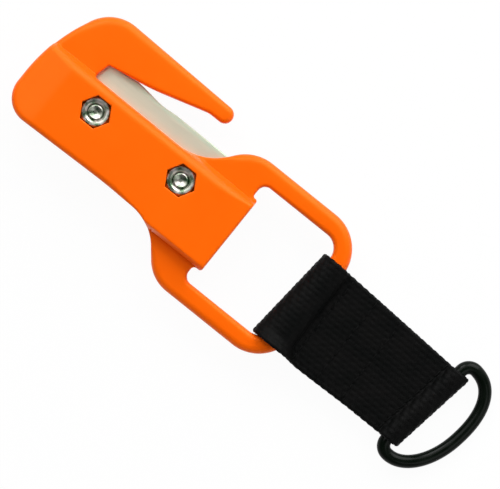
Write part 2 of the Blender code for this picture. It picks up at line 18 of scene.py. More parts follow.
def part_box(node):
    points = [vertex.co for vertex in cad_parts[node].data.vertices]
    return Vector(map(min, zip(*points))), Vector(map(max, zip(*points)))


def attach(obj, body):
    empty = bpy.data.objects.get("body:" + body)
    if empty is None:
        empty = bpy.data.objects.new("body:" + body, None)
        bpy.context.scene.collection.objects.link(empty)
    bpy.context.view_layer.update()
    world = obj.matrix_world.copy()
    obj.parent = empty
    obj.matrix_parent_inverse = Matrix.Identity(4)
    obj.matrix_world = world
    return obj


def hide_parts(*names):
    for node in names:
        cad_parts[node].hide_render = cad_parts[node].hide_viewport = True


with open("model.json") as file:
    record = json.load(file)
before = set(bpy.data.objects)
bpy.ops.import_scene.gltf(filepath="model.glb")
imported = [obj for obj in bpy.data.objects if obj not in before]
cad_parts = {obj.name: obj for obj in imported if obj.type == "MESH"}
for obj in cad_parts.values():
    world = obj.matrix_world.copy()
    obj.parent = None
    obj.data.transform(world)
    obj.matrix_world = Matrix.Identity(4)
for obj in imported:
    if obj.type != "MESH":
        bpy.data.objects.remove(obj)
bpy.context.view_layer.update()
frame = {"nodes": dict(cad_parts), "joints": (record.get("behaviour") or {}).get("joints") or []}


# Moulded body halves
# Two halves of safety-orange nylon, injection moulded and clamped over the blade at mid thickness. Both
# carry the hook, the raised grip and the strap frame. The front one takes the nuts, the rear one the heads of
# the screws.

MM = 0.001

body_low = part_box("rear_shell")[0] / MM
body_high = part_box("front_shell")[1] / MM
mid_z = (body_low.z + body_high.z) / 2
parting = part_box("front_shell")[0].z / MM - mid_z
flange_half = 2.5
grip_step = body_high.z - mid_z - flange_half

# The grip's flanks, up from each one's foot: a round shoulder above, a low wall with a sloped top below
upper_flank_foot = 7.1
upper_flank_width = 3.0
upper_flank_width_at_end = 1.2
upper_flank_narrows_from = 18.0
lower_flank_foot = -14.25
lower_flank_width = 0.8
lower_flank_wall = 0.5
flank_ease = 0.14
ease_samples = 9
ramp_start = -24.7
ramp_slope = math.tan(math.radians(12))
ramp_ease = 1.0

hook_far = body_low.x
frame_far = body_high.x
frame_low = body_low.y
frame_width = 41.35
frame_high = frame_low + frame_width
frame_bar = 5.2
grip_end = 31.45
outline_step = 0.4
outline_turn = math.radians(8)
rim_smoothing = 18
sharp_edge = math.radians(32)

# Corners as (x, y, radius, rim width): the outside runs anticlockwise, the window clockwise
body_corners = [
    (frame_far, frame_high, 10.8, 2.2),
    (23.2, frame_high, 11.0, 2.0),
    (14.7, 6.5, 15.0, 0.6),
    (-19.6, 6.75, 0.8, 0.6),
    (-18.45, 11.2, 0.7, 0.4),
    (-7.0, 13.1, 60.0, 1.0),
    (8.3, 17.5, 6.0, 1.0),
    (13.85, 17.5, 2.2, 1.3),
    (13.85, 21.9, 2.2, 1.6),
    (-26.3, 23.1, 10.3, 2.3),
    (hook_far, 6.2, 45.0, 1.5),
    (hook_far, -13.15, 7.0, 1.4),
    (-1.0, -12.3, 150.0, 1.4),
    (14.05, -12.7, 13.0, 0.6),
    (23.0, frame_low, 10.0, 1.9),
    (frame_far, frame_low, 10.8, 1.9),
]
window_corners = [
    (frame_far - frame_bar, frame_high - frame_bar, 4.2, 1.4),
    (frame_far - frame_bar, frame_low + frame_bar, 4.2, 1.6),
    (29.1, frame_low + frame_bar, 2.2, 1.2),
    (29.1, -14.5, 1.1, 0.6),
    (grip_end, -14.5, 0.7, 0.7),
    (grip_end, 8.1, 0.7, 0.7),
    (29.9, 8.1, 0.7, 0.6),
    (29.9, frame_high - frame_bar, 2.2, 1.0),
]


def corner_arc(before, corner, after, radius, widest_turn, longest_step=math.inf):
    """Spots round a corner of the given radius, on the way from the corner before it to the one after."""
    here = Vector(corner)
    back = (Vector(before) - here).normalized()
    ahead = (Vector(after) - here).normalized()
    turn = math.atan2(ahead.x * back.y - ahead.y * back.x, -back.dot(ahead))
    centre = here + (back + ahead).normalized() * radius / math.cos(turn / 2)
    spoke = here + back * radius * math.tan(abs(turn) / 2) - centre
    steps = math.ceil(max(abs(turn) / widest_turn, abs(turn) * radius / longest_step))
    return [centre + Matrix.Rotation(turn * count / steps, 2) @ spoke for count in range(steps + 1)]


def rounded(corners):
    """A closed outline through rounded corners, in short steps: its spots, and the rim width at each."""
    places = [corner[:2] for corner in corners]
    arcs = []
    for index, (*_, radius, rim) in enumerate(corners):
        after = places[(index + 1) % len(places)]
        arc = corner_arc(places[index - 1], places[index], after, radius, outline_turn, outline_step)
        arcs += [(*spot, rim) for spot in arc]
    outline = []
    for start, end in zip(arcs, arcs[1:] + arcs[:1]):
        start, end = np.array(start), np.array(end)
        steps = max(1, math.ceil(np.hypot(*(end - start)[:2]) / outline_step))
        outline += [start + (end - start) * count / steps for count in range(steps)]
    outline = np.array(outline)
    rims = outline[:, 2]
    for _ in range(rim_smoothing):
        rims = (np.roll(rims, 1) + rims + np.roll(rims, -1)) / 3
    return outline[:, :2], rims


def left_normals(spots):
    """The unit normal on the left of a closed outline at each of its spots."""
    along = np.roll(spots, -1, axis=0) - np.roll(spots, 1, axis=0)
    along /= np.hypot(along[:, 0], along[:, 1])[:, None]
    return np.column_stack((-along[:, 1], along[:, 0]))


def grip_rise(x):
    """How far the grip's face stands above the flange: level, then falling over the end ramp."""
    past = ramp_start - x
    past = np.where(np.abs(past) < ramp_ease, (past + ramp_ease) ** 2 / (4 * ramp_ease), np.maximum(past, 0))
    return grip_step - past * ramp_slope


def upper_width(x):
    """The upper flank's width, which narrows towards the grip's square end and as the ramp falls."""
    narrow = np.clip((x - upper_flank_narrows_from) / (grip_end - upper_flank_narrows_from), 0, 1)
    width = upper_flank_width + (upper_flank_width_at_end - upper_flank_width) * narrow * narrow
    return width * grip_rise(x) / grip_step


def half_thickness(spots):
    """From the parting plane to the face: the flange, and the grip that rises from it over its two flanks."""
    x, y = spots[:, 0], spots[:, 1]
    shifts = np.linspace(-flank_ease, flank_ease, ease_samples)
    upper = (upper_flank_foot - y) / upper_width(x)
    to_climb = [1 - np.clip(upper + shift, 0, 1) for shift in shifts]
    shoulder = np.mean([np.sqrt(1 - share * share) for share in to_climb], axis=0)
    lower = (y - lower_flank_foot) / lower_flank_width
    slope = np.mean([np.minimum(lower + 2 * shift, 1) for shift in shifts], axis=0)
    slope = np.where(lower < 0, 0, lower_flank_wall + (1 - lower_flank_wall) * slope)
    rise = grip_rise(x) * np.minimum(shoulder, slope)
    on_end_bar = x > grip_end + frame_bar
    return np.where(on_end_bar, flange_half, flange_half + rise)


def within(points, loops):
    """Which points lie inside the first loop and outside the others."""
    odd = np.zeros(len(points), bool)
    for loop in loops:
        for (ax, ay), (bx, by) in zip(loop, np.roll(loop, -1, axis=0)):
            if ay != by:
                crossing = ax + (points[:, 1] - ay) * (bx - ax) / (by - ay)
                odd ^= ((ay > points[:, 1]) != (by > points[:, 1])) & (points[:, 0] < crossing)
    return odd


def join_rings(bm, rings):
    """Quads between each closed ring of vertices and the next."""
    for lower, upper in zip(rings, rings[1:]):
        for index in range(len(lower)):
            bm.faces.new((lower[index - 1], lower[index], upper[index], upper[index - 1]))


def fill(bm, loops, inner=()):
    """Triangles between an outer ring of vertices and the rings of its holes, through any inner vertices."""
    verts = [vert for loop in loops for vert in loop] + list(inner)
    edges, first = [], 0
    for loop in loops:
        edges += [(first + index, first + (index + 1) % len(loop)) for index in range(len(loop))]
        first += len(loop)
    inside_edges, nearest = 1, 1e-8
    spots = [vert.co.xy for vert in verts]
    _, _, triangles, sources, _, _ = delaunay_2d_cdt(spots, edges, [], inside_edges, nearest)
    corners = [[verts[sources[index][0]] for index in triangle] for triangle in triangles]
    middles = np.array([sum((vert.co.xy for vert in three), Vector((0, 0))) / 3 for three in corners])
    shown = within(middles, [np.array([vert.co.xy for vert in loop]) for loop in loops])
    for three, keep in zip(corners, shown):
        if keep:
            bm.faces.new(three)


def circle(centre, radius, sides):
    """A clockwise ring of spots."""
    turn = -np.arange(sides) * 2 * math.pi / sides
    return np.column_stack((centre[0] + radius * np.cos(turn), centre[1] + radius * np.sin(turn)))


def hexagon(centre, flats, corner_round, rim):
    """A clockwise hexagon with two corners along X, in the form that rounded takes."""
    reach = flats / math.sqrt(3)
    turns = [-math.radians(60) * index for index in range(6)]
    return [(centre[0] + reach * math.cos(turn), centre[1] + reach * math.sin(turn), corner_round, rim)
            for turn in turns]


def face_spots(edges):
    """Spots over the face inside its edges, in rows close enough to shape the flanks and the ramp."""
    wall_run = 0.02
    row_on_grip, row_on_flange, first_column, column = 1.0, 1.2, 0.6, 0.7
    clear_of_flank, clear_of_edge = 0.8, 0.35
    upper_rows, lower_rows = 19, 13
    flank = np.linspace(-flank_ease, 1 + flank_ease, upper_rows)
    lower_top = lower_flank_foot + lower_flank_width
    upper_top = upper_flank_foot - upper_flank_width
    level = np.concatenate((
        [lower_flank_foot - wall_run],
        lower_flank_foot + lower_flank_width * np.linspace(0, 1 + 2 * flank_ease, lower_rows),
        np.arange(lower_top + clear_of_flank, upper_top - clear_of_flank, row_on_grip),
        np.arange(upper_flank_foot + row_on_flange, body_high.y, row_on_flange),
    ))
    grid = np.array([(x, y) for x in np.arange(hook_far + first_column, grip_end, column)
                     for y in np.concatenate((level, upper_flank_foot - upper_width(x) * flank))])
    grid = grid[within(grid, edges)]
    edge_spots = np.concatenate(edges)
    reach = np.array([np.min(np.hypot(*(edge_spots - spot).T)) for spot in grid])
    return grid[reach > clear_of_edge]


def moulded_half(name, side, seats, pegs):
    """One half: bevelled walls, rounded rims, the shaped face with its seats, and the parting face."""
    bm = bmesh.new()
    rim_steps = 9
    rim_depth = 0.88
    parting_bevel = 0.12
    peg_sides = 32

    def ring(spots, heights):
        heights = np.broadcast_to(heights, len(spots))
        return [bm.verts.new((x * MM, y * MM, (mid_z + side * height) * MM))
                for (x, y), height in zip(spots, heights)]

    flat_loops, face_loops = [], []
    outlines = [(*rounded(corners), None) for corners in (body_corners, window_corners)]
    for spots, rims, seat in outlines + seats:
        normals = left_normals(spots)
        if seat is None:
            rings = [ring(spots + normals * parting_bevel, parting), ring(spots, parting + parting_bevel)]
        else:
            bore, depth = seat
            rings = [ring(bore, parting), ring(bore, depth), ring(spots, depth)]
        for angle in np.linspace(0, math.pi / 2, rim_steps):
            place = spots + normals * (rims * (1 - math.cos(angle)))[:, None]
            rings.append(ring(place, half_thickness(place) - rim_depth * rims * (1 - math.sin(angle))))
        join_rings(bm, rings)
        flat_loops.append(rings[0])
        face_loops.append(rings[-1])
    spots = face_spots([np.array([vert.co.xy for vert in loop]) / MM for loop in face_loops])
    fill(bm, face_loops, ring(spots, half_thickness(spots)))

    # Locating pegs stand on the rear half's parting face, their sockets sink into the front half's
    for centre, profile in pegs:
        rings = [ring(circle(centre, radius, peg_sides), height) for radius, height in profile]
        join_rings(bm, rings)
        bm.faces.new(rings[-1])
        flat_loops.append(rings[0])
    fill(bm, flat_loops)
    return finished(name, bm)


def in_scene(name, data):
    """An object of the data, put in the scene."""
    obj = bpy.data.objects.new(name, data)
    bpy.context.scene.collection.objects.link(obj)
    return obj


def smoothed(mesh):
    """The mesh shaded smooth but for its sharp edges."""
    mesh.shade_smooth()
    mesh.set_sharp_from_angle(angle=sharp_edge)
    return mesh


def finished(name, bm):
    """An object made of the bmesh, faces outwards, smooth but for its sharp edges."""
    bmesh.ops.recalc_face_normals(bm, faces=bm.faces)
    mesh = bpy.data.meshes.new(name)
    bm.to_mesh(mesh)
    bm.free()
    return in_scene(name, smoothed(mesh))


def baked(obj):
    """Makes the object's evaluated shape its plain mesh and takes its modifiers away."""
    graph = bpy.context.evaluated_depsgraph_get()
    shape = obj.evaluated_get(graph)
    mesh = bpy.data.meshes.new_from_object(shape, preserve_all_data_layers=True, depsgraph=graph)
    obj.modifiers.clear()
    obj.data = mesh
    mesh.name = obj.name
    return obj


def cut_blade_pocket(half):
    """Takes the shallow pocket round the blade out of a half's parting face."""
    low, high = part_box("blade")
    side_gap, face_gap = 0.3 * MM, 0.1 * MM
    gap = Vector((side_gap, side_gap, face_gap))
    room = Matrix.LocRotScale((low + high) / 2, None, high - low + 2 * gap)
    bm = bmesh.new()
    bmesh.ops.create_cube(bm, size=1.0, matrix=room)
    pocket = finished("blade_pocket", bm)
    cut = half.modifiers.new("blade_pocket", "BOOLEAN")
    cut.operation = "DIFFERENCE"
    cut.object = pocket
    cut.solver = "EXACT"
    baked(half)
    bpy.data.objects.remove(pocket)
    smoothed(half.data)


def node(tree, kind, inputs=None, **settings):
    """A node with its settings made and its inputs linked or set, by name or number."""
    made = tree.nodes.new(kind)
    for key, value in settings.items():
        setattr(made, key, value)
    for key, value in (inputs or {}).items():
        if isinstance(value, bpy.types.NodeSocket):
            tree.links.new(value, made.inputs[key])
        else:
            made.inputs[key].default_value = value
    return made


def finish(name, **constants):
    """A new material, its tree and its shader, with the shader's constant inputs set."""
    made = bpy.data.materials.new(name)
    made.use_nodes = True
    shader = made.node_tree.nodes["Principled BSDF"]
    for key, value in constants.items():
        shader.inputs[key.replace("_", " ")].default_value = value
    return made, made.node_tree, shader


def feed(tree, shader, **values):
    """Links values that vary to the shader's inputs."""
    for key, value in values.items():
        tree.links.new(value, shader.inputs[key.replace("_", " ")])


def noise(tree, coordinates, scale, detail=2.0):
    """Noise from 0 to 1 over the given coordinates."""
    inputs = {"Vector": coordinates, "Scale": scale, "Detail": detail, "Roughness": 0.5}
    return node(tree, "ShaderNodeTexNoise", inputs).outputs["Fac"]


def ranged(tree, value, low, high, to_low, to_high):
    """The value's range stretched on to another."""
    inputs = {"Value": value, "From Min": low, "From Max": high, "To Min": to_low, "To Max": to_high}
    return node(tree, "ShaderNodeMapRange", inputs).outputs["Result"]


def shade(tree, value, dark, light):
    """A colour between two, by a value from 0 to 1."""
    ramp = node(tree, "ShaderNodeValToRGB", {"Fac": value})
    ramp.color_ramp.elements[0].color = (*dark, 1.0)
    ramp.color_ramp.elements[1].color = (*light, 1.0)
    return ramp.outputs["Color"]


def bump(tree, height, distance, strength):
    """A bump of the given depth."""
    inputs = {"Height": height, "Distance": distance, "Strength": strength}
    return node(tree, "ShaderNodeBump", inputs).outputs["Normal"]


def orange_nylon():
    """Satin moulded nylon: faint flow clouds in its colour, a fine spark-eroded grain and rubbed patches."""
    made, tree, shader = finish("orange_nylon", Specular_IOR_Level=0.42, Specular_Tint=(1.0, 0.5, 0.04, 1.0),
                                Coat_Weight=0.5, Coat_IOR=1.2, Coat_Roughness=0.34)
    place = node(tree, "ShaderNodeTexCoord").outputs["Object"]
    clouds = ranged(tree, noise(tree, place, 55.0, 3.0), 0.3, 0.7, 0.0, 1.0)
    rubbed = noise(tree, place, 260.0, 4.0)
    grain = noise(tree, place, 3200.0)
    feed(tree, shader,
         Base_Color=shade(tree, clouds, (0.95, 0.120, 0.0004), (0.99, 0.130, 0.0010)),
         Roughness=ranged(tree, rubbed, 0.3, 0.7, 0.40, 0.50),
         Normal=bump(tree, grain, 0.02 * MM, 0.35))
    return made


# Seats for the nuts, which keep them from turning, and for the screw heads
screw_boxes = [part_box(f"clamp_screw_{end}") for end in ("hook_end", "frame_end")]
screw_places = [(low + high) / (2 * MM) for low, high in screw_boxes]
nut_seat_gap = 0.1
nut_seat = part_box("hex_nut_hook_end")[0].z / MM - nut_seat_gap
nut_pocket_flats = 7.24
nut_pocket_corner = 0.25
nut_pocket_rim = 0.32
head_seat_depth = 2.3
head_seat = screw_boxes[0][0].z / MM + head_seat_depth
head_seat_radius = 4.1
head_seat_rim = 0.2
seat_sides = 64
screw_hole = 2.3

nut_seats, head_seats = [], []
for centre in screw_places:
    spots, rims = rounded(hexagon(centre, nut_pocket_flats, nut_pocket_corner, nut_pocket_rim))
    spokes = spots - np.array(centre.xy)
    bore = np.array(centre.xy) + spokes / np.hypot(spokes[:, 0], spokes[:, 1])[:, None] * screw_hole
    nut_seats.append((spots, rims, (bore, nut_seat - mid_z)))
    bore = circle(centre, screw_hole, seat_sides)
    rims = np.full(seat_sides, head_seat_rim)
    head_seats.append((circle(centre, head_seat_radius, seat_sides), rims, (bore, mid_z - head_seat)))

# Pegs and sockets as rings of (radius, height from the parting plane)
peg_places = [(-28.5, -5.0), (27.0, -5.0)]
peg_radius, peg_tip_radius, peg_height, peg_chamfer = 1.5, 1.1, 2.0, 0.4
socket_radius, socket_depth = 1.75, 2.25
peg = [(peg_radius, parting), (peg_radius, peg_chamfer - peg_height), (peg_tip_radius, -peg_height)]
socket = [(socket_radius, parting), (socket_radius, socket_depth)]

nylon = orange_nylon()
for name, side, seats, locator, shell in (
    ("front_moulding", 1, nut_seats, socket, "front_shell"),
    ("rear_moulding", -1, head_seats, peg, "rear_shell"),
):
    half = moulded_half(name, side, seats, [(place, locator) for place in peg_places])
    cut_blade_pocket(half)
    half.data.materials.clear()
    half.data.materials.append(nylon)
    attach(half, "cutter")
    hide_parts(shell)


# Blade
# A straight strip of hardened steel, ground on both faces and honed to an edge along its upper side. The two
# halves clamp it in their pocket, so only the stretch across the throat shows.

blade_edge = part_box("blade")[1].y
packed_bevel = 1.5
edge_bevel = 0.3
bevel_slack = 0.01
# Where the painted bevel sheen behind the edge starts and where it is full, in millimetres back from the
# edge. It stands in for a wider ground bevel than the mesh has.
bevel_sheen_starts, bevel_sheen_full = 1.4, 0.7

# How far the honed edge stands out at places along it: a full spot at the throat's closed end, then a hollow
honed_x = (-13.5, -11.5, -10.0, -8.0, -5.0, -3.2, -1.8, -0.4, 1.0, 2.6)
honed_out = (0.0, 0.3, 0.52, 0.36, 0.0, -0.22, -0.3, -0.25, -0.1, 0.0)


def ground_steel():
    """Pale ground steel with lengthwise scratches, and a band of painted bevel sheen, greener and duller, by
    the edge.
    """
    made, tree, shader = finish("ground_steel", Specular_IOR_Level=0.2)
    place = node(tree, "ShaderNodeTexCoord").outputs["Object"]
    lengthwise = node(tree, "ShaderNodeMapping", {"Vector": place, "Scale": (120.0, 9000.0, 1.0)}).outputs[0]
    scratches = noise(tree, lengthwise, 1.0, 3.0)
    across = node(tree, "ShaderNodeSeparateXYZ", {"Vector": place}).outputs["Y"]
    # Painted sheen: a band behind the edge is coloured greener and made less metallic, as a wider ground
    # bevel would look under the light
    bevel_sheen_band = ranged(tree, across, blade_edge - bevel_sheen_starts * MM, blade_edge - bevel_sheen_full * MM, 0.0, 1.0)
    # A Mix node has its two colours at inputs 6 and 7 and their mixture at output 2
    plain = shade(tree, scratches, (0.73, 0.75, 0.59), (0.82, 0.84, 0.67))
    colours = {"Factor": bevel_sheen_band, 6: plain, 7: (0.55, 0.68, 0.53, 1.0)}
    feed(tree, shader,
         Base_Color=node(tree, "ShaderNodeMix", colours, data_type="RGBA").outputs[2],
         Metallic=ranged(tree, bevel_sheen_band, 0.0, 1.0, 0.8, 0.3),
         Roughness=ranged(tree, scratches, 0.3, 0.7, 0.36, 0.44),
         Normal=bump(tree, scratches, 0.01 * MM, 0.3))
    return made


def honed_blade():
    """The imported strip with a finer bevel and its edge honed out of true, every face of it flat."""
    strip = frame["nodes"]["blade"]
    bm = bmesh.new()
    bm.from_mesh(strip.data)
    bm.transform(strip.matrix_world)
    nearest = 1e-7
    bmesh.ops.remove_doubles(bm, verts=bm.verts, dist=nearest)
    for x in honed_x:
        parts = bm.verts[:] + bm.edges[:] + bm.faces[:]
        bmesh.ops.bisect_plane(bm, geom=parts, plane_co=(x * MM, 0, 0), plane_no=(1, 0, 0))
    for vert in bm.verts:
        share = (blade_edge - vert.co.y) / (packed_bevel * MM)
        if share < 1 + bevel_slack:
            out = np.interp(vert.co.x / MM, honed_x, honed_out) - edge_bevel * share
            vert.co.y = blade_edge + out * MM
    made = finished("ground_blade", bm)
    made.data.shade_flat()
    return made


blade = honed_blade()
blade.data.materials.append(ground_steel())
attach(blade, "cutter")
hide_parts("blade")


# Clamp screws and nuts
# Two M4 button-head socket screws come up from the rear through both halves and the blade, into hex nuts in
# the front half's pockets. All are zinc-plated steel, and the rolled thread leaves each screw's end hollow.

round_sides = 72
nut_flats = 7.0
nut_corner_slope = math.radians(58)

# The screw's end as (radius, how far below the tip)
screw_end = ((1.97, 0.29), (1.66, 0.03), (1.6, 0.0), (1.5, 0.02), (0.62, 0.42), (0.45, 0.45))


def ringed(name, rings, closed):
    """A shape of joined rings of places; its ends are capped, or its last ring meets its first."""
    bm = bmesh.new()
    made = [[bm.verts.new(place) for place in ring] for ring in rings]
    join_rings(bm, made + made[:1] if closed else made)
    if not closed:
        bm.faces.new(made[0])
        bm.faces.new(made[-1])
    return finished(name, bm)


def around(radius, height):
    """A ring of places about the Z axis; radius and height are numbers or one for each place."""
    turn = np.arange(round_sides) * 2 * math.pi / round_sides
    radius, height = np.broadcast_to(radius, round_sides), np.broadcast_to(height, round_sides)
    return np.column_stack((radius * np.cos(turn), radius * np.sin(turn), height)) * MM


def hex_radius(flats):
    """The radius of a hexagon with a corner on the X axis, at each place of a ring."""
    turn = np.arange(round_sides) * 360 / round_sides
    return flats / 2 / np.cos(np.radians(turn % 60 - 30))


def hex_nut():
    """A nut with its corners turned off and a countersunk mouth."""
    low, high = (corner.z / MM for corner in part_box("hex_nut_hook_end"))
    outside = hex_radius(nut_flats)
    face, mouth, bore, countersink = 3.38, 2.6, 2.12, 0.55
    lip_width, lip_height = 0.08, 0.03
    drop = (outside - face) * math.tan(nut_corner_slope)
    return ringed("hex_nut_shape", [
        around(mouth, high - lip_height),
        around(mouth + lip_width, high),
        around(face, high),
        around(outside, high - drop),
        around(outside, low + drop),
        around(face, low),
        around(mouth, low),
        around(bore, low + countersink),
        around(bore, high - countersink),
    ], closed=True)


def clamp_screw():
    """A button-head screw with a hex socket at the rear and a rolled thread up to its hollow end."""
    low, high = (corner.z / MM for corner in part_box("clamp_screw_hook_end"))
    head, head_flat, head_height, dome_height, chamfer = 3.8, 1.85, 2.2, 1.9, 0.1
    key_flats, key_depth = 2.5, 1.3
    crest, thread_depth, pitch, rings_per_turn = 2.0, 0.2, 0.7, 8
    groove_steepness, crest_share = 1.4, 0.2
    plain_shank, thread_end, dome_rings = 1.2, 0.3, 10
    shoulder = low + head_height
    key = hex_radius(key_flats)
    turn = np.arange(round_sides) / round_sides
    rings = [around(key, low + key_depth), around(key, low + chamfer), around(key + chamfer, low),
             around(head_flat, low)]
    for angle in np.linspace(0, math.pi / 2, dome_rings)[1:]:
        radius = head_flat + (head - head_flat) * math.sin(angle)
        rings.append(around(radius, low + dome_height * (1 - math.cos(angle))))
    rings += [around(head, shoulder - chamfer), around(head - chamfer, shoulder), around(crest, shoulder)]
    for height in np.arange(shoulder + plain_shank, high - thread_end, pitch / rings_per_turn):
        groove = np.abs((height / pitch - turn) % 1.0 - 0.5) * 2
        groove = np.clip(groove * groove_steepness - crest_share, 0, 1)
        rings.append(around(crest - thread_depth * groove, height))
    rings += [around(radius, high - below) for radius, below in screw_end]
    return ringed("clamp_screw_shape", rings, closed=False)


def node_tree(name, **inputs):
    """A Geometry Nodes tree with named inputs: the tree, its input sockets, their identifiers, its output."""
    kinds = {"G": "Geometry", "F": "Float", "I": "Int", "M": "Material"}
    tree = bpy.data.node_groups.new(name, "GeometryNodeTree")
    tree.interface.new_socket("Geometry", in_out="OUTPUT", socket_type="NodeSocketGeometry")
    keys = {}
    for key, kind in inputs.items():
        label = key.replace("_", " ")
        made = tree.interface.new_socket(label, in_out="INPUT", socket_type="NodeSocket" + kinds[kind])
        keys[key] = made.identifier
    given = tree.nodes.new("NodeGroupInput")
    sockets = {key: given.outputs[key.replace("_", " ")] for key in inputs}
    return tree, sockets, keys, tree.nodes.new("NodeGroupOutput")


def end_tree(tree, geometry, given, out, smooth=True):
    """Ends a tree: its result is realized, smoothed unless it keeps its own edges, and given its finish."""
    geometry = node(tree, "GeometryNodeRealizeInstances", {"Geometry": geometry}).outputs[0]
    if smooth:
        geometry = node(tree, "GeometryNodeSetShadeSmooth", {"Geometry": geometry}).outputs[0]
    inputs = {"Geometry": geometry, "Material": given["Finish"]}
    tree.links.new(node(tree, "GeometryNodeSetMaterial", inputs).outputs[0], out.inputs[0])


def grown(obj, tree, keys, **values):
    """Runs a tree on the object with the given inputs and keeps the result as its plain mesh."""
    modifier = obj.modifiers.new(tree.name, "NODES")
    modifier.node_group = tree
    for key, value in values.items():
        modifier[keys[key]] = value
    return baked(obj)


def hardware_pair():
    """A tree that sets one copy of a shape on each screw axis."""
    tree, given, keys, out = node_tree("hardware_pair", Shape="G", First_X="F", Spacing="F", Finish="M")
    start = node(tree, "ShaderNodeCombineXYZ", {"X": given["First_X"]}).outputs[0]
    step = node(tree, "ShaderNodeCombineXYZ", {"X": given["Spacing"]}).outputs[0]
    axes = node(tree, "GeometryNodeMeshLine", {"Count": 2, "Start Location": start, "Offset": step})
    inputs = {"Points": axes.outputs[0], "Instance": given["Shape"]}
    copies = node(tree, "GeometryNodeInstanceOnPoints", inputs)
    end_tree(tree, copies.outputs[0], given, out, smooth=False)
    return tree, keys


def zinc_plate():
    """Bright zinc plate, clouded from green to rose by its passivation."""
    made, tree, shader = finish("zinc_plate", Metallic=1.0)
    place = node(tree, "ShaderNodeTexCoord").outputs["Object"]
    clouds = ranged(tree, noise(tree, place, 560.0, 3.0), 0.35, 0.65, 0.0, 1.0)
    grain = noise(tree, place, 5000.0)
    feed(tree, shader,
         Base_Color=shade(tree, clouds, (0.15, 0.27, 0.15), (0.78, 0.71, 0.67)),
         Roughness=ranged(tree, clouds, 0.0, 1.0, 0.24, 0.36),
         Normal=bump(tree, grain, 0.01 * MM, 0.25))
    return made


pair_tree, pair_keys = hardware_pair()
zinc = zinc_plate()
first_x, second_x = (place.x for place in screw_places)
for piece, stands_for in ((hex_nut(), "hex_nut"), (clamp_screw(), "clamp_screw")):
    piece.name = f"{stands_for}s"
    grown(piece, pair_tree, pair_keys, First_X=first_x * MM, Spacing=(second_x - first_x) * MM, Finish=zinc)
    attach(piece, "cutter")
    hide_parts(f"{stands_for}_hook_end", f"{stands_for}_frame_end")


# Webbing tab
# One strip of black nylon webbing, woven about 25 mm wide. It runs round the frame's end bar and the ring's
# bar, and its ends are lapped and sewn behind.

cloth_thickness = 1.2
layer_gap = 0.3
half_gap = (cloth_thickness + layer_gap) / 2
tab_width_at_frame = 26.4
tab_width_at_ring = 24.5
tab_length = 38.8
tab_side_shift = -1.1
frame_eye = 3.15
frame_reach_upper = 3.2
frame_reach_lower = 5.4
ring_eye = 2.1
eye_taper = math.radians(56)
eye_steps = 58
fold_ease = 1.3
fold_turn = math.radians(5)
ring_yaw = math.radians(9.0)
inner_end = 23.0
outer_end = 11.5
lap_step = 26.5
lap_step_length = 2.0
lap_ease = 2.0

# The eye opens wider at the lower edge, where the frame's rounded corner runs into it
frame_eye_flare = 1.85
flare_share = 0.12
flare_power = 1.5

# The lower edge bulges past the eye: places along the tab where that starts, is full, starts to fade and ends
edge_bulge = 0.4
edge_bulge_x = (4.0, 7.0, 9.0, 24.0)

tab_joint, ring_joint = frame["joints"]
tab_origin = Vector(tab_joint["pos_m"])
ring_origin = Vector(ring_joint["pos_m"])
droop = math.asin((tab_origin.z - ring_origin.z) / (tab_length * MM))
tab_place = Matrix.LocRotScale(tab_origin, Euler((0, droop, 0)), None)


def ring_line_x(share):
    """Where the ring's bar crosses the tab's own X, at a share of the width from the lower edge up."""
    return tab_length + math.tan(ring_yaw) * (share - 0.5) * tab_width_at_ring


def eye_corners(x, radius, reach, facing):
    """Spots round an eye that opens towards +X or -X, its closed side drawn out to the reach."""
    first = math.pi / 2 - eye_taper
    angles = np.linspace(first, 2 * math.pi - first, eye_steps + 1)
    width = np.where(np.cos(angles) > 0, radius, reach)
    return [(x + facing * w * math.cos(angle), -facing * radius * math.sin(angle), 0.0)
            for w, angle in zip(width, angles)]


def strip_bends(share):
    """The strip's bends in the tab's X and Z at a share of its width: a run of spots each, with its ends."""
    flare = frame_eye_flare * max(0.0, 1 - share / flare_share) ** flare_power
    near_eye = frame_eye + flare + cloth_thickness / 2
    reach = frame_reach_lower + (frame_reach_upper - frame_reach_lower) * share + cloth_thickness / 2
    far_eye = ring_eye + cloth_thickness / 2
    ring_x = ring_line_x(share)

    def neck(eye):
        return (eye - half_gap * math.cos(eye_taper)) / math.sin(eye_taper)

    corners = [
        (inner_end, -half_gap, 0.0),
        (neck(near_eye), -half_gap, fold_ease),
        *eye_corners(0.0, near_eye, reach, 1),
        (neck(near_eye), half_gap, fold_ease),
        (ring_x - neck(far_eye), half_gap, fold_ease),
        *eye_corners(ring_x, far_eye, far_eye, -1),
        (ring_x - neck(far_eye), -half_gap, fold_ease),
        (lap_step, -half_gap, lap_ease),
        (lap_step - lap_step_length, -3 * half_gap, lap_ease),
        (outer_end, -3 * half_gap, 0.0),
    ]
    bends = [[Vector(corners[0][:2])]]
    for before, (*here, ease), after in zip(corners, corners[1:], corners[2:]):
        bends.append(corner_arc(before[:2], here, after[:2], ease, fold_turn) if ease else [Vector(here)])
    return bends + [[Vector(corners[-1][:2])]]


# Guide lines along the strip, all with the same number of rows, so that each row runs straight across
row_pitch = 0.36
guide_cells = 16
guide_shares = [line / guide_cells for line in range(guide_cells + 1)]
guide_bends = [strip_bends(share) for share in guide_shares]
guide_lines = [list(bends[0]) for bends in guide_bends]
for bend in range(1, len(guide_bends[0])):
    straights = [(bends[bend - 1][-1], bends[bend][0]) for bends in guide_bends]
    steps = max(1, round(max((end - start).length for start, end in straights) / row_pitch))
    for line, bends, (start, end) in zip(guide_lines, guide_bends, straights):
        line += [start.lerp(end, count / steps) for count in range(1, steps)] + bends[bend]
strip_rows = len(guide_lines[0])


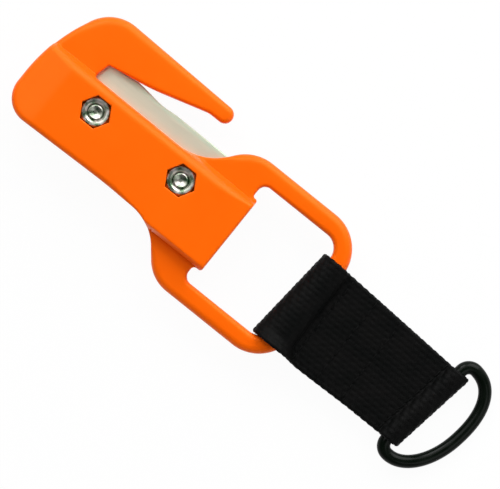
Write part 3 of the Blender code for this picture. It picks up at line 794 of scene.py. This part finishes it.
def tab_spot(x, share, z):
    """A place on the tab in the frame, from its own X and Z and a share of its width."""
    along = min(max(x / tab_length, 0.0), 1.0)
    width = tab_width_at_frame + (tab_width_at_ring - tab_width_at_frame) * along
    bulge = edge_bulge * np.interp(x, edge_bulge_x, (0.0, 1.0, 1.0, 0.0)) * (1 - share)
    return tab_place @ (Vector((x, tab_side_shift * along + (share - 0.5) * width - bulge, z)) * MM)


guide = bpy.data.meshes.new("webbing_guide")
guide_places, guide_along = [], []
for share, line in zip(guide_shares, guide_lines):
    guide_places += [tab_spot(spot.x, share, spot.y) for spot in line]
    steps = [(after - spot).length * MM for spot, after in zip(line, line[1:])]
    guide_along += [0.0, *np.cumsum(steps)]
guide.from_pydata(guide_places, [], [])
guide.attributes.new("along", "FLOAT", "POINT").data.foreach_set("value", guide_along)
strip_length = (guide_along[strip_rows - 1] + guide_along[-1]) / 2


def calc(tree, operation, *values):
    """A Math node's result."""
    return node(tree, "ShaderNodeMath", dict(enumerate(values)), operation=operation).outputs[0]


def vector_calc(tree, operation, *values):
    """A Vector Math node's vector result."""
    return node(tree, "ShaderNodeVectorMath", dict(enumerate(values)), operation=operation).outputs["Vector"]


def scaled(tree, vector, factor):
    """A vector times a number."""
    inputs = {0: vector, "Scale": factor}
    return node(tree, "ShaderNodeVectorMath", inputs, operation="SCALE").outputs["Vector"]


def woven_strip():
    """A tree that spans a strip over guide lines: two faces of raised picks that meet in round selvedges."""
    tree, given, keys, out = node_tree(
        "woven_strip", Guide="G", Cells="I", Rows="I", Columns="I", Thickness="F", Relief="F", Pick_Width="F",
        Pick_Length="F", Pick_Slant="F", Edge_Round="F", Edge_Wave="F", Length="F", Finish="M")
    weld = 0.002 * MM
    add, less, times, over, least, most, whole, fraction, root, sine = (
        partial(calc, tree, word) for word in (
            "ADD", "SUBTRACT", "MULTIPLY", "DIVIDE", "MINIMUM", "MAXIMUM", "FLOOR", "FRACT", "SQRT", "SINE"))
    plus, minus, cross, unit = (
        partial(vector_calc, tree, word) for word in ("ADD", "SUBTRACT", "CROSS_PRODUCT", "NORMALIZE"))

    # Each point's row and column, and the two guide lines that it lies between
    position = node(tree, "GeometryNodeInputPosition").outputs[0]
    run = node(tree, "GeometryNodeInputNamedAttribute", {"Name": "along"}, data_type="FLOAT").outputs[0]
    index = node(tree, "GeometryNodeInputIndex").outputs[0]
    row = whole(over(add(index, 0.5), given["Columns"]))
    column = less(index, times(row, given["Columns"]))
    share = over(column, less(given["Columns"], 1.0))
    in_cells = times(share, given["Cells"])
    cell = least(whole(in_cells), less(given["Cells"], 1.0))
    in_cell = less(in_cells, cell)

    def guide_value(kind, row, line, source):
        inputs = {"Geometry": given["Guide"], "Value": source, "Index": add(row, times(line, given["Rows"]))}
        return node(tree, "GeometryNodeSampleIndex", inputs, data_type=kind).outputs[0]

    def spanned(row):
        lower = guide_value("FLOAT_VECTOR", row, cell, position)
        upper = guide_value("FLOAT_VECTOR", row, add(cell, 1.0), position)
        step = minus(upper, lower)
        return plus(lower, scaled(tree, step, in_cell)), step

    last = less(given["Rows"], 1.0)
    here, step = spanned(row)
    before, _ = spanned(most(less(row, 1.0), 0.0))
    after, _ = spanned(least(add(row, 1.0), last))
    across_way = unit(step)
    normal = unit(cross(minus(after, before), across_way))

    span = minus(guide_value("FLOAT_VECTOR", row, given["Cells"], position),
                 guide_value("FLOAT_VECTOR", row, 0.0, position))
    width = node(tree, "ShaderNodeVectorMath", {0: span}, operation="LENGTH").outputs["Value"]
    across = times(share, width)
    lower_run = guide_value("FLOAT", row, 0.0, run)
    upper_run = guide_value("FLOAT", row, given["Cells"], run)
    along = add(lower_run, times(share, less(upper_run, lower_run)))

    # Slanted picks in columns, each column set half a pick on from the last
    columns_in = over(across, given["Pick_Width"])
    in_column = fraction(columns_in)
    stagger = times(calc(tree, "FLOORED_MODULO", whole(columns_in), 2.0), 0.5)
    slant = times(in_column, given["Pick_Slant"])
    picks_in = add(over(along, given["Pick_Length"]), add(stagger, slant))
    round_across = sine(times(in_column, math.pi))
    round_along = sine(times(fraction(picks_in), math.pi))
    pick = times(root(round_across), round_along)

    # Thickness falls away to nothing in a round edge at the selvedges and the cut ends
    to_side = least(across, less(width, across))
    to_end = times(least(row, less(last, row)), over(given["Length"], given["Rows"]))
    near_edge = less(1.0, least(over(least(to_side, to_end), given["Edge_Round"]), 1.0))
    profile = root(most(less(1.0, times(near_edge, near_edge)), 0.0))
    lift = times(add(times(given["Thickness"], 0.5), times(given["Relief"], pick)), profile)

    # The weft's turns scallop the selvedges
    turns = sine(times(over(along, given["Pick_Length"]), 2 * math.pi))
    outward = times(less(share, 0.5), 2.0)
    scallop = times(times(turns, given["Edge_Wave"]), times(outward, near_edge))
    base = plus(here, scaled(tree, across_way, scallop))

    joined = node(tree, "GeometryNodeJoinGeometry")
    for side in (1.0, -1.0):
        inputs = {"Vertices X": given["Rows"], "Vertices Y": given["Columns"]}
        sheet = node(tree, "GeometryNodeMeshGrid", inputs).outputs["Mesh"]
        spot = plus(base, scaled(tree, normal, times(lift, side)))
        geometry = node(tree, "GeometryNodeSetPosition", {"Geometry": sheet, "Position": spot}).outputs[0]
        for name, value in (("along", along), ("across", across)):
            inputs = {"Geometry": geometry, "Name": name, "Value": value}
            geometry = node(tree, "GeometryNodeStoreNamedAttribute", inputs, data_type="FLOAT").outputs[0]
        if side < 0:
            geometry = node(tree, "GeometryNodeFlipFaces", {"Mesh": geometry}).outputs[0]
        tree.links.new(geometry, joined.inputs[0])
    welded = node(tree, "GeometryNodeMergeByDistance", {"Geometry": joined.outputs[0], "Distance": weld})
    end_tree(tree, welded.outputs[0], given, out)
    return tree, keys


def black_webbing():
    """Dull black nylon yarn: fine filaments along the picks and a little grey in rubbed patches."""
    made, tree, shader = finish("black_webbing", Specular_IOR_Level=0.06, Roughness=0.55)
    along = node(tree, "ShaderNodeAttribute", attribute_name="along").outputs["Fac"]
    across = node(tree, "ShaderNodeAttribute", attribute_name="across").outputs["Fac"]
    cloth = node(tree, "ShaderNodeCombineXYZ", {"X": along, "Y": across}).outputs[0]
    worn = ranged(tree, noise(tree, cloth, 180.0, 4.0), 0.35, 0.75, 0.0, 1.0)
    lengthwise = node(tree, "ShaderNodeMapping", {"Vector": cloth, "Scale": (900.0, 7000.0, 1.0)}).outputs[0]
    filaments = noise(tree, lengthwise, 1.0)
    feed(tree, shader,
         Base_Color=shade(tree, worn, (0.0018, 0.0021, 0.0020), (0.0040, 0.0038, 0.0037)),
         Normal=bump(tree, filaments, 0.04 * MM, 0.5))
    return made


webbing = in_scene("webbing", guide)
strip_tree, strip_keys = woven_strip()
grown(webbing, strip_tree, strip_keys, Cells=guide_cells, Rows=strip_rows, Columns=97, Thickness=0.9 * MM,
      Relief=0.17 * MM, Pick_Width=1.4 * MM, Pick_Length=2.1 * MM, Pick_Slant=0.35, Edge_Round=0.7 * MM,
      Edge_Wave=0.08 * MM, Length=strip_length, Finish=black_webbing())
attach(webbing, "tab")
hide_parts("webbing_tab")


# Sewing
# Heavy black bonded thread, lockstitched through the layers in a row beside each eye and in two rows across
# the lap. The stitches stand a little proud of the cloth on both faces.

row_margin = 0.07
face_z = half_gap + cloth_thickness / 2
lap_z = 3 * half_gap + cloth_thickness / 2
eye_row = 5.6
ring_row = 3.7
lap_rows = (13.4, 21.4)

sewn_rows = []
for lower_x, upper_x, rear_z in (
    (eye_row, eye_row, face_z),
    (ring_line_x(row_margin) - ring_row, ring_line_x(1 - row_margin) - ring_row, face_z),
    *((x, x, lap_z) for x in lap_rows),
):
    sewn_rows += [(lower_x, upper_x, z) for z in (face_z, -rear_z)]

row_guide = bpy.data.meshes.new("sewn_row_guide")
row_ends = []
for lower_x, upper_x, z in sewn_rows:
    row_ends += [tab_spot(lower_x, row_margin, z), tab_spot(upper_x, 1 - row_margin, z)]
row_guide.from_pydata(row_ends, [(2 * row, 2 * row + 1) for row in range(len(sewn_rows))], [])
upward = tab_place.to_3x3() @ Vector((0, 0, 1))
lifts = [upward * math.copysign(1, z) for _, _, z in sewn_rows for _ in range(2)]
row_guide.attributes.new("lift", "FLOAT_VECTOR", "POINT").data.foreach_set("vector", np.ravel(lifts))


def thread_rows():
    """A tree that lays bridge after bridge of thread along guide rows, on the side that their lift names."""
    bridge_steps, thread_sides = 8, 8
    tree, given, keys, out = node_tree(
        "thread_rows", Rows="G", Stitch="F", Hole="F", Thread_Radius="F", Rise="F", Sink="F", Finish="M")
    line = node(tree, "GeometryNodeMeshToCurve", {"Mesh": given["Rows"]})
    pitch = calc(tree, "ADD", given["Stitch"], given["Hole"])
    inputs = {"Curve": line.outputs[0], "Length": pitch}
    spaced = node(tree, "GeometryNodeResampleCurve", inputs, mode="LENGTH")
    low = calc(tree, "MULTIPLY", given["Sink"], -1.0)
    ends, handles = [], []
    for side in (-0.5, 0.5):
        x = calc(tree, "MULTIPLY", given["Stitch"], side)
        ends.append(node(tree, "ShaderNodeCombineXYZ", {"X": x, "Z": low}).outputs[0])
        handles.append(node(tree, "ShaderNodeCombineXYZ", {"X": x, "Z": given["Rise"]}).outputs[0])
    arch = node(tree, "GeometryNodeCurvePrimitiveBezierSegment", {
        "Resolution": bridge_steps, "Start": ends[0], "Start Handle": handles[0],
        "End Handle": handles[1], "End": ends[1]})
    inputs = {"Resolution": thread_sides, "Radius": given["Thread_Radius"]}
    section = node(tree, "GeometryNodeCurvePrimitiveCircle", inputs)
    inputs = {"Curve": arch.outputs[0], "Profile Curve": section.outputs[0], "Fill Caps": True}
    bridge = node(tree, "GeometryNodeCurveToMesh", inputs)
    lift = node(tree, "GeometryNodeInputNamedAttribute", {"Name": "lift"}, data_type="FLOAT_VECTOR")
    along = node(tree, "GeometryNodeInputTangent")
    inputs = {"Primary Axis": lift.outputs[0], "Secondary Axis": along.outputs[0]}
    facing = node(tree, "FunctionNodeAxesToRotation", inputs, primary_axis="Z", secondary_axis="X")
    copies = node(tree, "GeometryNodeInstanceOnPoints", {
        "Points": spaced.outputs[0], "Instance": bridge.outputs[0], "Rotation": facing.outputs[0]})
    end_tree(tree, copies.outputs[0], given, out)
    return tree, keys


def bonded_thread():
    """Black bonded nylon thread, smoother than the webbing, with its ply showing as fine bands."""
    made, tree, shader = finish("bonded_thread", Specular_IOR_Level=0.06, Roughness=0.6)
    place = node(tree, "ShaderNodeTexCoord").outputs["Object"]
    ply = noise(tree, place, 2500.0)
    feed(tree, shader,
         Base_Color=shade(tree, ply, (0.0020, 0.0024, 0.0023), (0.0044, 0.0043, 0.0042)),
         Normal=bump(tree, ply, 0.03 * MM, 0.4))
    return made


sewing = in_scene("sewing", row_guide)
row_tree, row_keys = thread_rows()
grown(sewing, row_tree, row_keys, Stitch=1.9 * MM, Hole=0.35 * MM, Thread_Radius=0.18 * MM, Rise=0.12 * MM,
      Sink=0.22 * MM, Finish=bonded_thread())
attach(sewing, "tab")


# D-ring
# Round steel wire bent to a D, butt welded on its straight bar and finished in black enamel. The bar turns
# in the tab's far fold.

wire_radius = 1.7
ring_bar_half = 12.6
ring_corner = 2.65
ring_bow = 9.55
ring_fullness_upper = 2.35
ring_fullness_lower = 2.0
ring_slide = 0.45
ring_floor_gap = 0.2
corner_spots, bow_spots, bar_spots = 13, 73, 9


def ring_line():
    """The wire's line in the ring's own plane, slid along its bar: corner, bow, corner and straight bar."""
    half_width = ring_bar_half + ring_corner
    quarter = np.linspace(0, math.pi / 2, corner_spots)
    half = np.linspace(0, math.pi, bow_spots)[1:-1]
    power = 2 / np.where(half < math.pi / 2, ring_fullness_upper, ring_fullness_lower)
    out = np.sin(half) ** power
    across = np.sign(np.cos(half)) * np.abs(np.cos(half)) ** power
    bar = np.linspace(-ring_bar_half, ring_bar_half, bar_spots)[1:-1]
    sine, cosine = ring_corner * np.sin(quarter), ring_corner * np.cos(quarter)
    return (0, ring_slide) + np.concatenate((
        np.column_stack((ring_corner - cosine, ring_bar_half + sine)),
        np.column_stack((ring_corner + ring_bow * out, half_width * across)),
        np.column_stack((ring_corner - sine, -ring_bar_half - cosine)),
        np.column_stack((np.zeros(len(bar)), bar)),
    ))


def ring_place():
    """Where the ring lies: its bar on the joint's axis, its bow let down to the floor."""
    bow_reach = ring_corner + ring_bow
    drop = (ring_origin.z / MM - wire_radius - ring_floor_gap) / bow_reach
    along, upright = math.sin(droop) * math.cos(ring_yaw), math.cos(droop)
    pitch = math.asin(drop / math.hypot(along, upright)) - math.atan2(along, upright)
    bar_middle = Vector((tab_length, tab_side_shift, 0)) * MM
    return tab_place @ Matrix.LocRotScale(bar_middle, Euler((0, pitch, -ring_yaw)), None)


def bent_wire():
    """A tree that runs a round wire along a closed guide."""
    tree, given, keys, out = node_tree("bent_wire", Guide="G", Wire_Radius="F", Sides="I", Finish="M")
    line = node(tree, "GeometryNodeMeshToCurve", {"Mesh": given["Guide"]})
    inputs = {"Resolution": given["Sides"], "Radius": given["Wire_Radius"]}
    section = node(tree, "GeometryNodeCurvePrimitiveCircle", inputs)
    inputs = {"Curve": line.outputs[0], "Profile Curve": section.outputs[0]}
    wire = node(tree, "GeometryNodeCurveToMesh", inputs)
    end_tree(tree, wire.outputs[0], given, out)
    return tree, keys


def black_enamel():
    """Stoved black enamel with a faint green in it, a little orange peel and rubbed spots."""
    made, tree, shader = finish("black_enamel", Specular_IOR_Level=0.1)
    place = node(tree, "ShaderNodeTexCoord").outputs["Object"]
    tone = ranged(tree, noise(tree, place, 300.0, 4.0), 0.35, 0.7, 0.0, 1.0)
    orange_peel = noise(tree, place, 1300.0)
    feed(tree, shader,
         Base_Color=shade(tree, tone, (0.0018, 0.0036, 0.0020), (0.0040, 0.0062, 0.0042)),
         Roughness=ranged(tree, tone, 0.0, 1.0, 0.17, 0.27),
         Normal=bump(tree, orange_peel, 0.03 * MM, 0.3))
    return made


wire_line = ring_line()
wire_place = ring_place()
wire_guide = bpy.data.meshes.new("ring_guide")
wire_guide.from_pydata([wire_place @ (Vector((x, y, 0)) * MM) for x, y in wire_line],
                       [(index, (index + 1) % len(wire_line)) for index in range(len(wire_line))], [])
ring = in_scene("ring", wire_guide)
wire_tree, wire_keys = bent_wire()
grown(ring, wire_tree, wire_keys, Wire_Radius=wire_radius * MM, Sides=24, Finish=black_enamel())
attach(ring, "ring")
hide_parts("d_ring")


# Studio
# A plain white sweep under soft light: a large softbox from the hook's side, a smaller one from the hook's
# corner, dim cards overhead and past the ring, and a dim sky. The camera looks straight down, turned so that
# the cutter lies across the picture.

floor_half = 3.0
floor_gap = 0.05
floor_glow = 0.96
sky_at_horizon, sky_overhead, sky_dims_by = 0.7, 0.08, 0.6
lamps_aim = Vector((0.02, 0, 0))
picture_width = 124.6 * MM
picture_centre = Vector((36.78, -1.59, 6.5)) * MM
picture_turn = math.radians(38.8)
camera_distance = 0.8
sensor = 36.0
white = (1.0, 1.0, 1.0, 1.0)


def white_floor():
    """A matt white floor that the camera sees as white, with a trace of the shadow kept."""
    made, tree, shader = finish("white_floor", Base_Color=(0.9, 0.9, 0.9, 1.0), Roughness=0.9,
                                Specular_IOR_Level=0.0)
    path = node(tree, "ShaderNodeLightPath")
    seen = calc(tree, "MAXIMUM", path.outputs["Is Camera Ray"], path.outputs["Is Glossy Ray"])
    seen = calc(tree, "MAXIMUM", seen, path.outputs["Is Transmission Ray"])
    factor = calc(tree, "MULTIPLY", seen, floor_glow)
    glow = node(tree, "ShaderNodeEmission", {"Color": white, "Strength": 1.0})
    mixed = node(tree, "ShaderNodeMixShader", {0: factor, 1: shader.outputs[0], 2: glow.outputs[0]})
    tree.links.new(mixed.outputs[0], tree.nodes["Material Output"].inputs["Surface"])
    return made


bm = bmesh.new()
bmesh.ops.create_grid(bm, x_segments=1, y_segments=1, size=floor_half)
bmesh.ops.translate(bm, vec=(0, 0, -floor_gap * MM), verts=bm.verts)
floor = finished("floor", bm)
floor.data.materials.append(white_floor())

world = bpy.data.worlds.new("studio")
bpy.context.scene.world = world
world.use_nodes = True
sky = world.node_tree
way = node(sky, "ShaderNodeTexCoord").outputs["Generated"]
height = node(sky, "ShaderNodeSeparateXYZ", {"Vector": way}).outputs["Z"]
backdrop = sky.nodes["Background"]
backdrop.inputs["Color"].default_value = white
feed(sky, backdrop, Strength=ranged(sky, height, 0.0, sky_dims_by, sky_at_horizon, sky_overhead))

for name, place, size, watts in (
    ("hook_side_softbox", (0.02, 1.0, 0.63), 1.0, 13.8),
    ("hook_corner_softbox", (-0.77, 0.53, 0.7), 0.5, 4.5),
    ("overhead_card", (-0.72, 0.3, 1.2), 1.0, 6.6),
    ("ring_end_card", (0.95, -0.1, 0.85), 0.8, 2.6),
):
    lamp = bpy.data.lights.new(name, "AREA")
    lamp.size = size
    lamp.energy = watts
    box = in_scene(name, lamp)
    box.location = place
    box.rotation_euler = (lamps_aim - Vector(place)).to_track_quat("-Z", "Y").to_euler()

camera = bpy.data.cameras.new("camera")
camera.sensor_width = sensor
camera.lens = sensor * camera_distance / picture_width
stand = in_scene("camera", camera)
stand.rotation_euler = (0, 0, picture_turn)
stand.location = picture_centre + Vector((0, 0, camera_distance))
bpy.context.scene.camera = stand
bpy.context.scene.view_settings.view_transform = "Standard"
